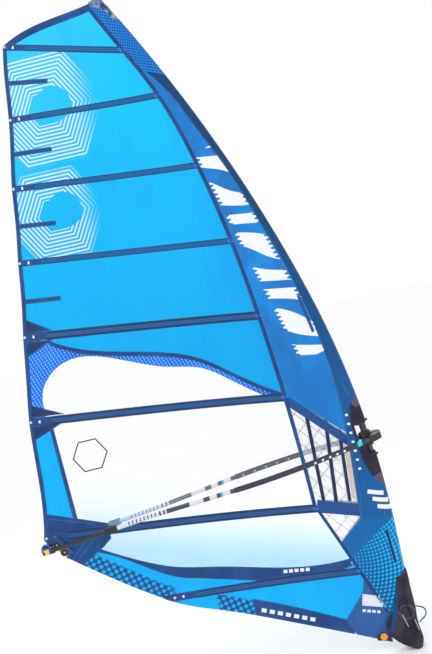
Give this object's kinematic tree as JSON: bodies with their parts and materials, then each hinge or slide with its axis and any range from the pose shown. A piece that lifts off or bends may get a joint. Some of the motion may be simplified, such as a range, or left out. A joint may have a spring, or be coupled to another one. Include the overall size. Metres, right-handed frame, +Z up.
{
  "type": "windsurf sail rig",
  "caption": "Windsurf rig: a tall battened film sail with a mast sleeve, on a curved mast, with a wishbone boom, mast extension and neoprene boot.",
  "frame": {"origin": "centre of the mouth of the mast-base socket, at the foot of the mast extension", "axes": "+Z up the straight lower mast, +X forward out of the luff, +Y to port, square to the sail"},
  "size_m": [2.3931, 0.463, 4.6008],
  "materials": {
    "carbon_tube": "satin",
    "extension_metal": "satin",
    "black_plastic": "matte",
    "clear_plastic": "gloss",
    "steel": "satin",
    "grip_foam": "matte",
    "rope": "matte",
    "webbing": "matte",
    "neoprene": "matte",
    "cyan_film": "gloss",
    "clear_film": "gloss",
    "ply_film": "satin",
    "navy_cloth": "satin",
    "sleeve_cloth": "satin",
    "sleeve_film": "gloss",
    "batten_rod": "satin"
  },
  "bodies": {
    "sail_and_mast": {"batten_pockets": "navy_cloth", "batten_tensioners": "black_plastic", "body_panel_1": "cyan_film", "body_panel_2": "cyan_film", "body_panel_3": "cyan_film", "body_panel_4": "cyan_film", "body_panel_5": "cyan_film", "boot_strap": "webbing", "camber_inducers": "black_plastic", "clew_block": "black_plastic", "clew_patch": "navy_cloth", "corner_ply": "ply_film", "cutout_cover": "neoprene", "downhaul_line": "rope", "edge_tapes": "navy_cloth", "extension_base": "black_plastic", "extension_collar": "black_plastic", "extension_tube": "extension_metal", "foot_panel": "cyan_film", "full_battens": "batten_rod", "head_cap": "clear_film", "head_panel": "cyan_film", "leech_strip": "cyan_film", "mast_base_section": "carbon_tube", "mast_ferrule": "carbon_tube", "mast_top_section": "carbon_tube", "mini_battens": "navy_cloth", "seam_bands": "navy_cloth", "sheave_axles": "steel", "sleeve_front": "sleeve_cloth", "sleeve_lower": "sleeve_cloth", "sleeve_port": "sleeve_film", "sleeve_starboard": "sleeve_film", "sleeve_windows": "clear_film", "tack_block": "black_plastic", "tack_boot": "neoprene", "tack_buckle": "black_plastic", "tack_panel": "navy_cloth", "tack_webbing": "webbing", "tensioner_screws": "steel", "window_lower": "clear_film", "window_main": "clear_film", "window_upper": "clear_film"},
    "boom": {"boom_arm_port": "carbon_tube", "boom_arm_starboard": "carbon_tube", "boom_grips": "grip_foam", "boom_front_end": "black_plastic", "head_pivot_pin": "steel", "tail_collars": "black_plastic", "outhaul_line": "rope"},
    "head_clamp": {"head_clamp": "black_plastic"},
    "clamp_lever": {"clamp_lever": "black_plastic"},
    "boom_tail": {"boom_tail": "carbon_tube", "tail_end_fitting": "black_plastic"},
    "tail_lock_port": {"tail_lock_port": "black_plastic"},
    "tail_lock_starboard": {"tail_lock_starboard": "black_plastic"},
    "tail_roller": {"tail_roller": "clear_plastic"},
    "clew_roller": {"clew_roller": "black_plastic"},
    "base_sheaves": {"base_sheaves": "black_plastic"},
    "tack_sheaves": {"tack_sheaves": "black_plastic"}
  },
  "joints": [
    {"name": "boom_height", "type": "hinge", "parent": "sail_and_mast", "child": "boom", "pos_m": [-2.137, 0, 1.123], "axis": [0, -1, 0], "range_deg": [-1.3, 1.3]},
    {"name": "clamp_align", "type": "hinge", "parent": "boom", "child": "head_clamp", "pos_m": [0.03535, 0, 1.43858], "axis": [0, -1, 0], "range_deg": [-0.9, 0.9]},
    {"name": "clamp_lever_open", "type": "hinge", "parent": "head_clamp", "child": "clamp_lever", "pos_m": [-0.00431, 0.041, 1.43332], "axis": [0.0968, 0, -0.9953], "range_deg": [0, 100]},
    {"name": "boom_tail_slide", "type": "slide", "parent": "boom", "child": "boom_tail", "axis": [-0.993, 0, -0.1184], "range_m": [0, 0.08], "deforming": ["outhaul_line"]},
    {"name": "tail_lock_port_open", "type": "hinge", "parent": "boom", "child": "tail_lock_port", "pos_m": [-1.75198, 0.1109, 1.22545], "axis": [0.1184, 0, -0.993], "range_deg": [0, 60]},
    {"name": "tail_lock_starboard_open", "type": "hinge", "parent": "boom", "child": "tail_lock_starboard", "pos_m": [-1.75198, -0.1109, 1.22545], "axis": [-0.1184, 0, 0.993], "range_deg": [0, 60]},
    {"name": "tail_roller_spin", "type": "hinge", "parent": "boom_tail", "child": "tail_roller", "pos_m": [-2.25613, 0, 1.17138], "axis": [0, 1, 0], "continuous": true},
    {"name": "clew_roller_spin", "type": "hinge", "parent": "sail_and_mast", "child": "clew_roller", "pos_m": [-2.137, 0, 1.123], "axis": [0, 1, 0], "continuous": true},
    {"name": "sheave_base_spin", "type": "hinge", "parent": "sail_and_mast", "child": "base_sheaves", "pos_m": [-0.044, 0, 0.046], "axis": [0, 1, 0], "continuous": true},
    {"name": "sheave_tack_spin", "type": "hinge", "parent": "sail_and_mast", "child": "tack_sheaves", "pos_m": [-0.062, 0, 0.232], "axis": [0, 1, 0], "continuous": true}
  ],
  "couplings": [
    {"joint": "clamp_align", "follows": "boom_height", "ratio": -0.63}
  ]
}
